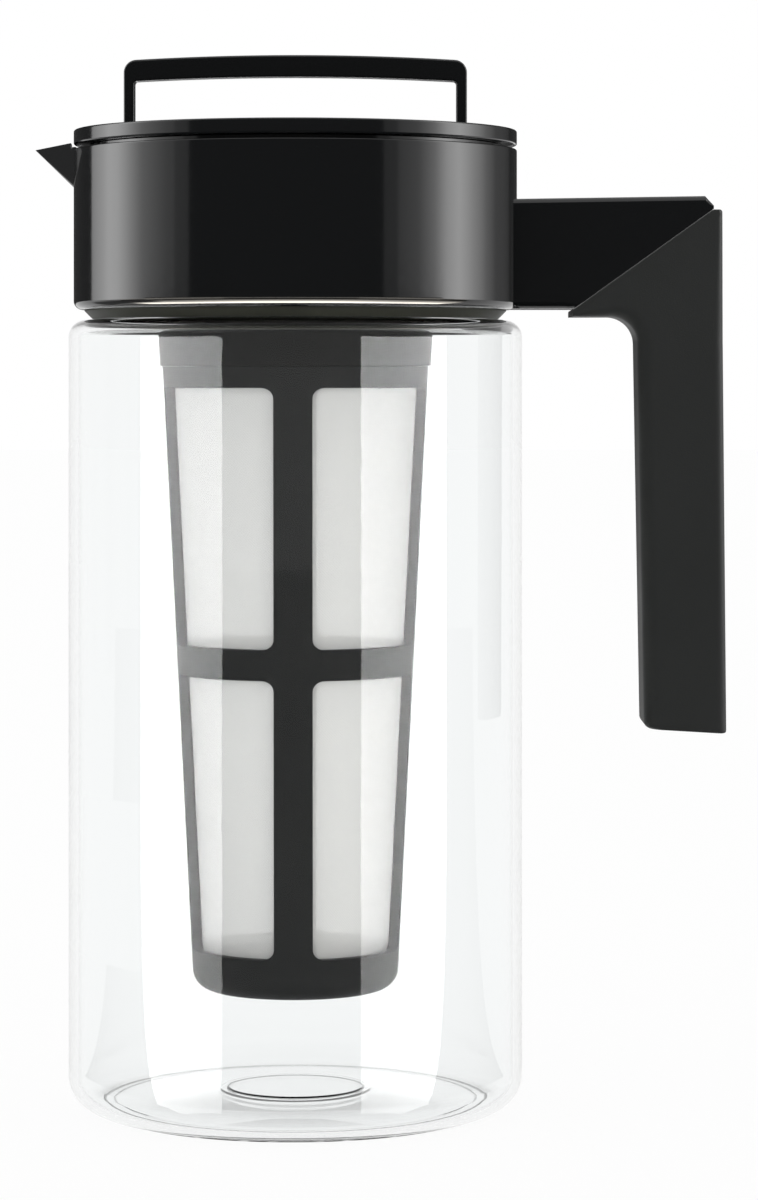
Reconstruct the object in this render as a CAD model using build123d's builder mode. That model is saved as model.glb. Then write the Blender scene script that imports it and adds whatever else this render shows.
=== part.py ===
"""Cold brew coffee maker: clear jug, pouring collar with a side handle, lid with a folding
bail, and a tapered filter basket that hangs from the lid.

Millimetres, +Z up, handle towards +X, spout towards -X. The origin is the centre of the
ring that the jug stands on.
"""

from build123d import *

import os
from math import asin, pi, sin

os.makedirs("parts", exist_ok=True)

# Jug, blown and moulded in clear copolyester
jug_radius = 57.5
jug_wall = 2.6
base_corner_radius = 8.6
standing_ring_width = 3.0
base_rise = 2.6
base_rise_blend = 1.5
ring_edge_round = 0.6
gate_disc_radius = 17.0
gate_disc_rise = 0.35
gate_disc_margin = 1.55
shoulder_height = 199.6
shoulder_corner_radius = 4.4
shoulder_width = 8.0
neck_wall = 2.5
neck_length = 32.4
neck_bead_depth = 0.9
neck_bead_height = 3.0
neck_bead_drop = 7.0
neck_bead_round = 0.4
neck_root_round = 1.2

# Clearances between pieces
fit_gap = 0.3
close_gap = 0.1
pin_gap = 0.06
cut_margin = 1.0

# Collar: a load-carrying sleeve inside a gloss shell
sleeve_wall = 2.9
sleeve_foot_height = 2.6
sleeve_foot_bevel = 2.0
sleeve_flange_thickness = 2.5
sleeve_bead_depth = 0.7
sleeve_bead_height = 1.9
bead_wall_gap = 0.2
shell_wall = 2.4
shell_foot_reveal = 2.3
shell_lip_depth = 1.4
shell_lip_thickness = 1.5
shell_edge_round = 2.2
shell_top_round = 0.4
neck_seal_thickness = 2.0

# Bayonet lugs that hold the lid in the sleeve
lid_lug_count = 4
lid_lug_depth = 1.5
lid_lug_arc = 34.0
sleeve_lug_arc = 36.0
lid_lug_height = 2.5

# Lid
gasket_thickness = 2.3
lid_floor_thickness = 2.0
lid_wall = 2.0
lid_rim_height = 3.7
lid_rim_reveal = 1.1
lid_recess_depth = 6.2
lid_edge_round = 0.5
plug_wall = 2.2
plug_length = 11.4

# Bail handle that folds into the recess of the lid
bail_leg_width = 2.7
bail_bar_thickness = 4.6
bail_crown = 1.4
bail_depth = 6.0
bail_height = 20.7
bail_corner_radius = 3.0
bail_inner_corner_radius = 1.6
bail_pin_radius = 1.5
ear_length = 6.2
ear_width = 9.0
ear_rim_drop = 0.2
pin_grip_in_ear = 4.7

# Filter basket and the socket of the lid that holds it
infuser_taper = 0.05
infuser_radius = 33.7
infuser_floor_gap = 25.1
infuser_wall = 2.7
infuser_floor_thickness = 2.2
infuser_base_round = 5.2
infuser_inner_round = 2.8
infuser_cup_height = 10.5
infuser_top_band = 5.1
infuser_mid_band = 7.7
infuser_upper_window = 64.7
infuser_rib_width = 10.0
infuser_rib_count = 4
window_corner_radius = 2.6
mesh_thickness = 0.5
mesh_seat = 2.0
infuser_neck_wall = 2.0
infuser_neck_length = 15.4
infuser_lug_depth = 1.7
infuser_lug_height = 2.2
infuser_lug_arc = 38.0
socket_lug_arc = 40.0
socket_length = 51.4
socket_wall = 2.1
socket_step = 0.7
socket_lug_rise = 2.0
socket_flange_thickness = 2.0
seal_thickness = 2.0
seal_ledge_thickness = 2.0

# Spout, a beak of the collar shell
spout_reach = 9.9
spout_brow = 1.6
spout_fall = 14.6
spout_half_width = 12.6
spout_keel_round = 4.0
spout_wall = 2.2
spout_channel_rise = 1.4
notch_half_width = 9.0
notch_rise = 0.7

# Side handle: core, gloss arm cover and soft grip
arm_half_width = 12.0
arm_foot_rise = 0.2
arm_top_drop = 12.8
arm_top_rise = 0.7
arm_edge_round = 1.6
arm_end_chamfer = 2.1
arm_end_chamfer_fall = 2.4
arm_end_face = 1.0
arm_reach = 49.1
seam_run = 35.6
seam_rise = 25.5
grip_step = 1.4
grip_proud = 2.3
grip_length = 131.8
grip_flare = 1.0
grip_width_top = 21.4
grip_width_foot = 20.7
grip_foot_slope = 1.1
grip_bend_radius = 6.8
grip_foot_round = 2.0
grip_top_round = 0.8
grip_palm_round = 3.5
grip_outer_round = 2.2
core_half_width = 8.5
core_outer_wall = 2.6
core_inner_wall = 2.6
core_side_drop = 2.6
core_foot_wall = 5.0
core_bend_radius = 3.0

# Screws that hold the handle core to the sleeve
screw_radius = 1.25
screw_head_radius = 2.6
screw_head_height = 1.6
screw_length = 15.0
screw_spacing = 8.0
screw_rise = 3.6
screw_recess = 0.25

# Heights worked up from the table
neck_radius = jug_radius - shoulder_width
neck_bore = neck_radius - neck_wall
neck_top = shoulder_height + neck_length
flange_low = neck_top + neck_seal_thickness
flange_high = flange_low + sleeve_flange_thickness
gasket_low = flange_high + fit_gap
gasket_high = gasket_low + gasket_thickness
lid_floor_low = gasket_high + fit_gap
lid_floor_high = lid_floor_low + lid_floor_thickness
lid_rim_high = lid_floor_high + lid_recess_depth
lid_rim_low = lid_rim_high - lid_rim_height
shell_high = lid_rim_low - lid_rim_reveal
sleeve_low = shoulder_height + fit_gap
shell_low = sleeve_low + shell_foot_reveal

# Radii worked outwards from the neck
sleeve_bore = neck_radius + neck_bead_depth + bead_wall_gap
sleeve_radius = sleeve_bore + sleeve_wall
shell_bore = sleeve_radius + fit_gap
shell_radius = shell_bore + shell_wall
shell_lip_bore = shell_bore - shell_lip_depth
lid_wall_radius = shell_lip_bore - fit_gap - close_gap
lid_recess_radius = lid_wall_radius - lid_wall
sleeve_lug_bore = neck_bore - lid_lug_depth
plug_radius = sleeve_lug_bore - fit_gap
plug_bore = plug_radius - plug_wall
gasket_bore = plug_radius + fit_gap
gasket_radius = sleeve_bore - fit_gap - close_gap

# Filter basket heights and radii, worked down from the lid
socket_low = lid_floor_low - socket_length
infuser_high = socket_low - fit_gap - close_gap
infuser_low = base_rise + jug_wall + infuser_floor_gap
neck_ring_high = infuser_high + infuser_neck_length
socket_low_radius = infuser_radius + socket_step
socket_bore = socket_low_radius - socket_wall
socket_lug_low = socket_low + socket_lug_rise
socket_lug_bore = socket_bore - infuser_lug_depth
infuser_lug_low = socket_lug_low + infuser_lug_height + fit_gap + close_gap
infuser_neck_radius = socket_lug_bore - fit_gap - close_gap
infuser_neck_bore = infuser_neck_radius - infuser_neck_wall
infuser_lug_radius = socket_bore - fit_gap - close_gap
seal_low = neck_ring_high + fit_gap
seal_high = seal_low + seal_thickness
seal_ledge_low = seal_high + fit_gap
mesh_low = infuser_low + infuser_cup_height - mesh_seat
mesh_high = infuser_high - infuser_top_band + mesh_seat
lower_window_low = infuser_low + infuser_cup_height
upper_window_high = infuser_high - infuser_top_band
upper_window_low = upper_window_high - infuser_upper_window
lower_window_high = upper_window_low - infuser_mid_band

# Bail and its pivot
bail_pivot_height = lid_floor_high + fit_gap + bail_depth / 2
bail_half_span = lid_recess_radius - ear_length - fit_gap
bail_high = bail_pivot_height + bail_height

# Handle outline
arm_high = shell_high - arm_top_drop
arm_low = shell_low + arm_foot_rise
arm_end = shell_radius + arm_reach
seam_end_height = arm_high + arm_top_rise - arm_end_chamfer_fall - arm_end_face
seam_start = arm_end - seam_run
seam_start_height = seam_end_height - seam_rise
grip_low = seam_end_height - grip_length
grip_face = arm_end + grip_proud
grip_foot_face = grip_face + grip_flare
grip_palm = grip_face - grip_width_top
grip_foot_palm = grip_foot_face - grip_width_foot
grip_under = seam_start_height - grip_step
core_low = arm_low + core_side_drop
core_high = seam_end_height - core_outer_wall
core_end = grip_face - core_outer_wall
core_inner = grip_foot_palm + core_inner_wall
core_foot = grip_low + core_foot_wall
screw_low = core_low + screw_rise


def infuser_radius_at(height):
    """Outside radius of the filter basket: it narrows evenly below its shoulder."""
    return infuser_radius - infuser_taper * (infuser_high - height)


def window_half_width(height):
    """Half the width of a window, square to its middle, that leaves ribs of one width."""
    radius = infuser_radius_at(height)
    rib_angle = asin(infuser_rib_width / 2 / radius)
    return radius * sin(pi / infuser_rib_count - rib_angle)


def band(inner_radius, outer_radius, low, high):
    """Rectangle in the radius and height plane: the section of one turned band."""
    with Locations(((inner_radius + outer_radius) / 2, (low + high) / 2)):
        Rectangle(outer_radius - inner_radius, high - low)


def turned_outline(corners):
    """Closed section from (radius, height, corner radius) triples, in order round it."""
    with BuildLine() as outline:
        FilletPolyline(
            *[(radius, height) for radius, height, _ in corners],
            radius=[rounding for _, _, rounding in corners],
            close=True,
        )
    make_face(outline.edges())


def lugs(inner_radius, outer_radius, low, high, arc, count, first_angle):
    """Ring of equal lugs, each a sector of a flat ring, extruded from low to high."""
    with BuildSketch(Plane.XY.offset(low)) as sectors:
        for index in range(count):
            start = first_angle + index * 360 / count - arc / 2
            with BuildLine():
                outer_arc = CenterArc((0, 0), outer_radius, start, arc)
                inner_arc = CenterArc((0, 0), inner_radius, start, arc)
                Line(outer_arc @ 0, inner_arc @ 0)
                Line(outer_arc @ 1, inner_arc @ 1)
            make_face()
    extrude(sectors.sketch, amount=high - low)


def core_outline(grow):
    """L-shaped side view of the handle core, grown all round by a clearance."""
    with BuildLine() as outline:
        FilletPolyline(
            (sleeve_bore, core_low - grow),
            (core_inner - grow, core_low - grow),
            (core_inner - grow, core_foot - grow),
            (core_end + grow, core_foot - grow),
            (core_end + grow, core_high + grow),
            (sleeve_bore, core_high + grow),
            radius=[0, core_bend_radius, core_bend_radius, core_bend_radius, core_bend_radius, 0],
            close=True,
        )
    make_face(outline.edges())


# Jug body: base ring, side wall, shoulder and neck with its snap bead
inner_radius = jug_radius - jug_wall
inner_shoulder = shoulder_height - jug_wall
ring_inner_radius = jug_radius - base_corner_radius - standing_ring_width
base_crown_radius = gate_disc_radius + gate_disc_rise + gate_disc_margin
bead_high = neck_top - neck_bead_drop
bead_low = bead_high - neck_bead_height
with BuildPart() as jug_body:
    with BuildSketch(Plane.XZ):
        turned_outline([
            (0, base_rise + gate_disc_rise, 0),
            (gate_disc_radius, base_rise + gate_disc_rise, 0),
            (gate_disc_radius + gate_disc_rise, base_rise, 0),
            (base_crown_radius, base_rise, base_rise_blend),
            (ring_inner_radius, 0, ring_edge_round),
            (jug_radius, 0, base_corner_radius),
            (jug_radius, shoulder_height, shoulder_corner_radius),
            (neck_radius, shoulder_height, 0),
            (neck_radius, neck_top, 0),
            (neck_bore, neck_top, 0),
            (neck_bore, inner_shoulder, neck_root_round),
            (inner_radius, inner_shoulder, shoulder_corner_radius - jug_wall),
            (inner_radius, jug_wall, base_corner_radius - jug_wall),
            (ring_inner_radius, jug_wall, ring_edge_round),
            (base_crown_radius, base_rise + jug_wall, base_rise_blend),
            (gate_disc_radius + gate_disc_rise, base_rise + jug_wall, 0),
            (gate_disc_radius, base_rise + gate_disc_rise + jug_wall, 0),
            (0, base_rise + gate_disc_rise + jug_wall, 0),
        ])
    revolve(axis=Axis.Z)
    with BuildSketch(Plane.XZ):
        turned_outline([
            (neck_radius - neck_bead_depth, bead_low, 0),
            (neck_radius, bead_low, 0),
            (neck_radius + neck_bead_depth, bead_low + neck_bead_depth, neck_bead_round),
            (neck_radius + neck_bead_depth, bead_high - neck_bead_depth, neck_bead_round),
            (neck_radius, bead_high, 0),
            (neck_radius - neck_bead_depth, bead_high, 0),
        ])
    revolve(axis=Axis.Z)
jug_body.part.label = "jug_body"

# Silicone ring between the neck and the sleeve
with BuildPart() as neck_seal:
    with BuildSketch(Plane.XZ):
        band(neck_bore, neck_radius, neck_top, flange_low)
    revolve(axis=Axis.Z)
neck_seal.part.label = "neck_seal"

# Collar sleeve: foot ring, wall, flange, snap bead and bayonet lugs, with the pour notch
# and two counterbored screw holes
with BuildPart() as collar_sleeve:
    with BuildSketch(Plane.XZ) as sleeve_section:
        band(neck_radius + fit_gap, sleeve_radius, sleeve_low, sleeve_low + sleeve_foot_height)
        band(sleeve_bore, sleeve_radius, sleeve_low, gasket_high)
        band(neck_bore, sleeve_radius, flange_low, flange_high)
        band(
            sleeve_bore - sleeve_bead_depth,
            sleeve_radius,
            bead_low - fit_gap - sleeve_bead_height,
            bead_low - fit_gap,
        )
        outer_corners = sleeve_section.vertices().group_by(Axis.X)[-1].sort_by(Axis.Y)
        chamfer(outer_corners[0], length=sleeve_foot_bevel)
    revolve(axis=Axis.Z)
    lugs(
        sleeve_lug_bore,
        neck_bore + lid_lug_depth,
        flange_low,
        flange_high,
        sleeve_lug_arc,
        lid_lug_count,
        180 / lid_lug_count,
    )
    with BuildSketch(Plane.YZ.offset(-sleeve_radius - cut_margin)):
        with Locations((0, (flange_high + notch_rise + shell_high) / 2)):
            Rectangle(2 * notch_half_width, shell_high - flange_high - notch_rise)
    extrude(amount=sleeve_wall + 2 * cut_margin, mode=Mode.SUBTRACT)
    with Locations(*[
        Plane(
            origin=(sleeve_bore - sleeve_bead_depth, 0, screw_low + index * screw_spacing),
            z_dir=(-1, 0, 0),
        )
        for index in range(2)
    ]):
        CounterBoreHole(
            radius=screw_radius + pin_gap,
            counter_bore_radius=screw_head_radius + close_gap,
            counter_bore_depth=sleeve_bead_depth + screw_recess + screw_head_height,
            depth=sleeve_bead_depth + sleeve_wall + cut_margin,
        )
collar_sleeve.part.label = "collar_sleeve"

# Collar shell: gloss outer ring with the beak of the spout and a window for the core
spout_plane = Plane.YZ.offset(close_gap - shell_bore)


def spout_section(plane, raise_by):
    """Pointed keel section of the beak, open side up, on the given upright plane."""
    with BuildSketch(plane) as section:
        with BuildLine():
            FilletPolyline(
                (-spout_half_width, shell_high + spout_brow + raise_by),
                (0, shell_high - spout_fall + raise_by),
                (spout_half_width, shell_high + spout_brow + raise_by),
                radius=[0, spout_keel_round, 0],
                close=True,
            )
        make_face()
    return section.sketch.faces()


with BuildPart() as collar_shell:
    spout_tip = Vertex(-shell_radius - spout_reach, 0, shell_high)
    loft(sections=spout_section(spout_plane, 0) + [spout_tip])
    with BuildSketch(Plane.XZ):
        band(0, shell_radius + fit_gap, shell_high, shell_high + spout_brow + cut_margin)
        band(0, shell_bore, shell_low, shell_high)
    revolve(axis=Axis.Z, mode=Mode.SUBTRACT)
    with BuildSketch(Plane.XZ) as shell_section:
        band(shell_bore, shell_radius, shell_low, shell_high)
        band(shell_lip_bore, shell_radius, shell_high - shell_lip_thickness, shell_high)
        outer_corners = shell_section.vertices().group_by(Axis.X)[-1].sort_by(Axis.Y)
        fillet(outer_corners[0], radius=shell_edge_round)
        outer_corners = shell_section.vertices().group_by(Axis.X)[-1].sort_by(Axis.Y)
        fillet(outer_corners[-1], radius=shell_top_round)
    revolve(axis=Axis.Z)
    channel_tip = Vertex(
        -shell_radius - spout_reach + spout_wall, 0, shell_high + spout_channel_rise
    )
    loft(
        sections=spout_section(spout_plane.offset(spout_wall), spout_channel_rise) + [channel_tip],
        mode=Mode.SUBTRACT,
    )
    with BuildSketch(Plane.YZ.offset(shell_lip_bore)):
        with Locations((0, (core_low + core_high) / 2)):
            Rectangle(
                2 * (core_half_width + close_gap), core_high - core_low + 2 * close_gap
            )
    extrude(amount=shell_radius, mode=Mode.SUBTRACT)
collar_shell.part.label = "collar_shell"

# Handle core: stiff L-shaped bar, seated on the sleeve through the window of the shell
with BuildPart() as handle_core:
    with BuildSketch(Plane.XZ):
        core_outline(0)
    extrude(amount=core_half_width, both=True)
    with BuildSketch(Plane.XY.offset(core_low)):
        Circle(sleeve_radius + close_gap)
    extrude(amount=core_high - core_low, mode=Mode.SUBTRACT)
    with Locations(*[
        Plane(origin=(sleeve_radius, 0, screw_low + index * screw_spacing), z_dir=(-1, 0, 0))
        for index in range(2)
    ]):
        Hole(radius=screw_radius + pin_gap, depth=screw_length)
handle_core.part.label = "handle_core"

# Handle screws: two pan heads in the sleeve's counterbores, shanks in the core
with BuildPart() as handle_screws:
    screw_seat = sleeve_bore + screw_recess + screw_head_height
    for index in range(2):
        height = screw_low + index * screw_spacing
        with BuildSketch(Plane.YZ.offset(screw_seat)):
            with Locations((0, height)):
                Circle(screw_head_radius)
        extrude(amount=-screw_head_height)
        with BuildSketch(Plane.YZ.offset(screw_seat)):
            with Locations((0, height)):
                Circle(screw_radius)
        extrude(amount=screw_length - screw_head_height)
handle_screws.part.label = "handle_screws"

# The seam between the arm cover and the grip, as a plane that faces up and inwards
seam_plane = Plane(
    origin=(seam_start, 0, seam_start_height),
    x_dir=(0, 1, 0),
    z_dir=(-seam_rise, 0, seam_run),
)

# Handle arm: gloss cover over the level part of the core
with BuildPart() as handle_arm:
    with BuildSketch(Plane.XZ):
        with BuildLine():
            Polyline(
                (sleeve_bore, arm_low),
                (arm_end, arm_low),
                (arm_end, arm_high + arm_top_rise - arm_end_chamfer_fall),
                (arm_end - arm_end_chamfer, arm_high + arm_top_rise),
                (sleeve_bore, arm_high),
                close=True,
            )
        make_face()
    extrude(amount=arm_half_width, both=True)
    outline_edges = handle_arm.edges().filter_by(lambda edge: abs(edge.tangent_at(0.5).Y) < 0.5)
    fillet(outline_edges.group_by(Axis.Z)[-1], radius=arm_edge_round)
    outline_edges = handle_arm.edges().filter_by(Axis.X)
    fillet(outline_edges.group_by(Axis.Z)[0], radius=arm_edge_round)
    split(bisect_by=seam_plane.offset(close_gap), keep=Keep.TOP)
    with BuildSketch(Plane.XZ):
        core_outline(close_gap)
    extrude(amount=core_half_width + close_gap, both=True, mode=Mode.SUBTRACT)
    with BuildSketch(Plane.XY.offset(arm_low)):
        Circle(shell_radius + close_gap)
    extrude(amount=arm_high + arm_top_rise - arm_low, mode=Mode.SUBTRACT)
handle_arm.part.label = "handle_arm"

# Handle grip: soft sleeve moulded over the upright part of the core
with BuildPart() as handle_grip:
    with BuildSketch(Plane.XZ):
        turned_outline([
            (shell_radius, grip_under, 0),
            (grip_palm, grip_under, grip_bend_radius),
            (grip_foot_palm, grip_low + grip_foot_slope, grip_foot_round),
            (grip_foot_face, grip_low, 0),
            (grip_face, seam_end_height, 0),
            (shell_radius, seam_end_height, 0),
        ])
    extrude(amount=arm_half_width, both=True)
    outline_edges = handle_grip.edges().filter_by(lambda edge: abs(edge.tangent_at(0.5).Y) < 0.5)
    palm_edges = outline_edges.filter_by(
        lambda edge: edge.center().X < grip_foot_palm + cut_margin and edge.center().Z < seam_start_height
        and edge.center().X > shell_radius + cut_margin
    )
    fillet(palm_edges, radius=grip_palm_round)
    outline_edges = handle_grip.edges().filter_by(lambda edge: abs(edge.tangent_at(0.5).Y) < 0.5)
    fillet(outline_edges.group_by(Axis.X)[-1], radius=grip_outer_round)
    top_corner = handle_grip.edges().filter_by(Axis.Y).group_by(Axis.Z)[-1].sort_by(Axis.X)[-1]
    fillet(top_corner, radius=grip_top_round)
    split(bisect_by=seam_plane, keep=Keep.BOTTOM)
    split(bisect_by=Plane.YZ.offset(seam_start), keep=Keep.TOP)
    with BuildSketch(Plane.XZ):
        core_outline(close_gap)
    extrude(amount=core_half_width + close_gap, both=True, mode=Mode.SUBTRACT)
handle_grip.part.label = "handle_grip"

# Lid cap: rim, recess with a floor, and two ears that carry the pins of the bail
ear_inner = bail_half_span + fit_gap
ear_high = lid_rim_high - ear_rim_drop
with BuildPart() as lid_cap:
    with BuildSketch(Plane.XZ) as cap_section:
        band(0, lid_wall_radius, lid_floor_low, lid_floor_high)
        band(lid_recess_radius, lid_wall_radius, lid_floor_low, lid_rim_high)
        band(lid_recess_radius, shell_radius, lid_rim_low, lid_rim_high)
        fillet(cap_section.vertices().group_by(Axis.X)[-1], radius=lid_edge_round)
    revolve(axis=Axis.Z)
    for side in (-1, 1):
        with BuildSketch(Plane.XY.offset(lid_floor_high)):
            ear_outer = lid_recess_radius + fit_gap
            with Locations((side * (ear_inner + ear_outer) / 2, 0)):
                Rectangle(ear_outer - ear_inner, ear_width)
        extrude(amount=ear_high - lid_floor_high)
    with BuildSketch(Plane.YZ):
        with Locations((0, bail_pivot_height)):
            Circle(bail_pin_radius + pin_gap)
    extrude(amount=bail_half_span + pin_grip_in_ear, both=True, mode=Mode.SUBTRACT)
lid_cap.part.label = "lid_cap"

# Lid plug: tube under the lid with bayonet lugs, standing in the gaps of the sleeve's lugs
with BuildPart() as lid_plug:
    with BuildSketch(Plane.XZ):
        band(plug_bore, plug_radius, lid_floor_low - plug_length, lid_floor_low)
    revolve(axis=Axis.Z)
    lugs(
        plug_radius - plug_wall / 2,
        neck_bore - fit_gap,
        flange_low - fit_gap - lid_lug_height,
        flange_low - fit_gap,
        lid_lug_arc,
        lid_lug_count,
        0,
    )
lid_plug.part.label = "lid_plug"

# Lid gasket: flat silicone ring on the sleeve's flange
with BuildPart() as lid_gasket:
    with BuildSketch(Plane.XZ):
        band(gasket_bore, gasket_radius, gasket_low, gasket_high)
    revolve(axis=Axis.Z)
lid_gasket.part.label = "lid_gasket"

# Infuser socket: flanged tube under the lid, with a seal ledge and bayonet lugs inside
socket_flange_radius = plug_bore - fit_gap
socket_high_radius = socket_low_radius + infuser_taper * socket_length
seal_ledge_high = seal_ledge_low + seal_ledge_thickness
with BuildPart() as infuser_socket:
    with BuildSketch(Plane.XZ):
        with BuildLine():
            Polyline(
                (socket_bore, socket_low),
                (socket_low_radius, socket_low),
                (socket_high_radius, lid_floor_low),
                (socket_high_radius - socket_wall, lid_floor_low),
                (socket_bore, seal_ledge_high),
                close=True,
            )
        make_face()
        band(
            socket_high_radius - socket_wall,
            socket_flange_radius,
            lid_floor_low - socket_flange_thickness,
            lid_floor_low,
        )
        band(infuser_neck_bore, socket_bore, seal_ledge_low, seal_ledge_high)
    revolve(axis=Axis.Z)
    lugs(
        socket_lug_bore,
        socket_bore + socket_wall / 2,
        socket_lug_low,
        socket_lug_low + infuser_lug_height,
        socket_lug_arc,
        infuser_rib_count,
        180 / infuser_rib_count,
    )
infuser_socket.part.label = "infuser_socket"

# Infuser seal: silicone ring between the basket's neck and the ledge of the socket
with BuildPart() as infuser_seal:
    with BuildSketch(Plane.XZ):
        band(infuser_neck_bore, infuser_neck_radius, seal_low, seal_high)
    revolve(axis=Axis.Z)
infuser_seal.part.label = "infuser_seal"

# Infuser frame: neck with lugs, shoulder, tapered ribs and bands, and a closed cup foot
mesh_seat_low_radius = infuser_radius_at(mesh_low) - infuser_wall
mesh_seat_high_radius = infuser_radius_at(mesh_high) - infuser_wall
with BuildPart() as infuser_frame:
    with BuildSketch(Plane.XZ):
        turned_outline([
            (0, infuser_low, 0),
            (infuser_radius_at(infuser_low), infuser_low, infuser_base_round),
            (infuser_radius, infuser_high, 0),
            (infuser_neck_radius, infuser_high, 0),
            (infuser_neck_radius, neck_ring_high, 0),
            (infuser_neck_bore, neck_ring_high, 0),
            (infuser_neck_bore, mesh_high, 0),
            (mesh_seat_high_radius, mesh_high, 0),
            (mesh_seat_low_radius, mesh_low, 0),
            (mesh_seat_low_radius - mesh_thickness - close_gap, mesh_low, 0),
            (
                mesh_seat_low_radius - mesh_thickness - close_gap,
                infuser_low + infuser_floor_thickness,
                infuser_inner_round,
            ),
            (0, infuser_low + infuser_floor_thickness, 0),
        ])
    revolve(axis=Axis.Z)
    lugs(
        infuser_neck_radius - infuser_neck_wall / 2,
        infuser_lug_radius,
        infuser_lug_low,
        infuser_lug_low + infuser_lug_height,
        infuser_lug_arc,
        infuser_rib_count,
        0,
    )
    for low, high in (
        (lower_window_low, lower_window_high),
        (upper_window_low, upper_window_high),
    ):
        half_widths = [window_half_width(height) for height in (low, high)]
        for index in range(infuser_rib_count):
            facing = 360 * (index + 0.5) / infuser_rib_count
            with BuildSketch(Plane.XZ.rotated((0, 0, facing))):
                with BuildLine():
                    FilletPolyline(
                        (-half_widths[0], low),
                        (half_widths[0], low),
                        (half_widths[1], high),
                        (-half_widths[1], high),
                        radius=window_corner_radius,
                        close=True,
                    )
                make_face()
            extrude(amount=infuser_radius + cut_margin, mode=Mode.SUBTRACT)
infuser_frame.part.label = "infuser_frame"

# Infuser mesh: tapered sleeve of woven cloth held inside the frame
with BuildPart() as infuser_mesh:
    with BuildSketch(Plane.XZ):
        with BuildLine():
            low_radius = mesh_seat_low_radius - close_gap
            high_radius = mesh_seat_high_radius - close_gap
            Polyline(
                (low_radius, mesh_low),
                (high_radius, mesh_high),
                (high_radius - mesh_thickness, mesh_high),
                (low_radius - mesh_thickness, mesh_low),
                close=True,
            )
        make_face()
    revolve(axis=Axis.Z)
infuser_mesh.part.label = "infuser_mesh"

# Bail handle: flat legs, a thicker crowned bar, and round pivot ends
bail_bar_low = bail_high - bail_bar_thickness
with BuildPart() as bail_handle:
    with BuildSketch(Plane.XZ) as bail_section:
        with BuildLine():
            left_leg = Polyline(
                (-bail_half_span + bail_leg_width, bail_bar_low),
                (-bail_half_span + bail_leg_width, bail_pivot_height),
                (-bail_half_span, bail_pivot_height),
                (-bail_half_span, bail_high),
            )
            crown = ThreePointArc(
                left_leg @ 1, (0, bail_high + bail_crown), (bail_half_span, bail_high)
            )
            right_leg = Polyline(
                crown @ 1,
                (bail_half_span, bail_pivot_height),
                (bail_half_span - bail_leg_width, bail_pivot_height),
                (bail_half_span - bail_leg_width, bail_bar_low),
            )
            Line(right_leg @ 1, left_leg @ 0)
        make_face()
        upper = bail_section.vertices().filter_by(lambda corner: corner.Y > bail_bar_low + cut_margin)
        fillet(upper, radius=bail_corner_radius)
        inner = bail_section.vertices().filter_by(
            lambda corner: abs(corner.Y - bail_bar_low) < 0.01
        )
        fillet(inner, radius=bail_inner_corner_radius)
    extrude(amount=bail_depth / 2, both=True)
    for leg_face in (-bail_half_span, bail_half_span - bail_leg_width):
        with BuildSketch(Plane.YZ.offset(leg_face)):
            with Locations((0, bail_pivot_height)):
                Circle(bail_depth / 2)
        extrude(amount=bail_leg_width)
    with BuildSketch(Plane.YZ):
        with Locations((0, bail_pivot_height)):
            Circle(bail_pin_radius)
    extrude(amount=bail_half_span + cut_margin, both=True, mode=Mode.SUBTRACT)
bail_handle.part.label = "bail_handle"

# Bail pins: two steel pins pressed into the legs and turning in the ears
with BuildPart() as bail_pins:
    for side in (-1, 1):
        with BuildSketch(Plane.YZ.offset(side * (bail_half_span - bail_leg_width + pin_gap))):
            with Locations((0, bail_pivot_height)):
                Circle(bail_pin_radius)
        extrude(amount=side * (bail_leg_width + pin_grip_in_ear - fit_gap))
bail_pins.part.label = "bail_pins"

pieces = [
    jug_body,
    neck_seal,
    collar_sleeve,
    collar_shell,
    handle_core,
    handle_screws,
    handle_arm,
    handle_grip,
    lid_cap,
    lid_plug,
    lid_gasket,
    infuser_socket,
    infuser_seal,
    infuser_frame,
    infuser_mesh,
    bail_handle,
    bail_pins,
]
for piece in pieces:
    export_step(piece.part, f"parts/{piece.part.label}.step")
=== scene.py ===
"""Cold brew coffee maker in Blender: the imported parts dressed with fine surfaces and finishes.

+Z is up, the handle points to +X and the spout to -X. The object's sizes are in mm until its
meshes are made. The camera, the lamps and the cards are placed in metres.
"""

import bmesh
import bpy
import numpy as np
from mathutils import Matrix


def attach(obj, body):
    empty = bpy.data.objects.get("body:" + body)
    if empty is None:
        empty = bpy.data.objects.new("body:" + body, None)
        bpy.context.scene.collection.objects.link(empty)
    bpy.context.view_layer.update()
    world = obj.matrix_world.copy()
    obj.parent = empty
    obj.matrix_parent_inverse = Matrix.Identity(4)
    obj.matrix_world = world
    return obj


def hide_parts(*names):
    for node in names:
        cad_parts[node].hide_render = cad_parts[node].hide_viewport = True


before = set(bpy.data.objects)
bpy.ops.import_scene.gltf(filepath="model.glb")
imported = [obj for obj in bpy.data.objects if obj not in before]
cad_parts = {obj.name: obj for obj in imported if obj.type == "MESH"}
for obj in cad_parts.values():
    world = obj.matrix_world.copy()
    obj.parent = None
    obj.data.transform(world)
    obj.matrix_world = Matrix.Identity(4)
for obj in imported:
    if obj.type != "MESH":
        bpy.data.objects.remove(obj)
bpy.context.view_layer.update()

# Camera. The photograph is taken from the front, a metre away and level with the top of the
# jug, and its frame is shifted down to take in the whole jug.
camera_data = bpy.data.cameras.new("camera")
camera_data.lens = 120.8
camera_data.shift_y = -0.1875
camera = bpy.data.objects.new("camera", camera_data)
camera.location = (0.0212, -1.023, 0.1857)
camera.rotation_euler = (np.radians(90), 0, 0)
bpy.context.scene.collection.objects.link(camera)
bpy.context.scene.camera = camera
bpy.context.scene.view_settings.view_transform = "Standard"


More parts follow.
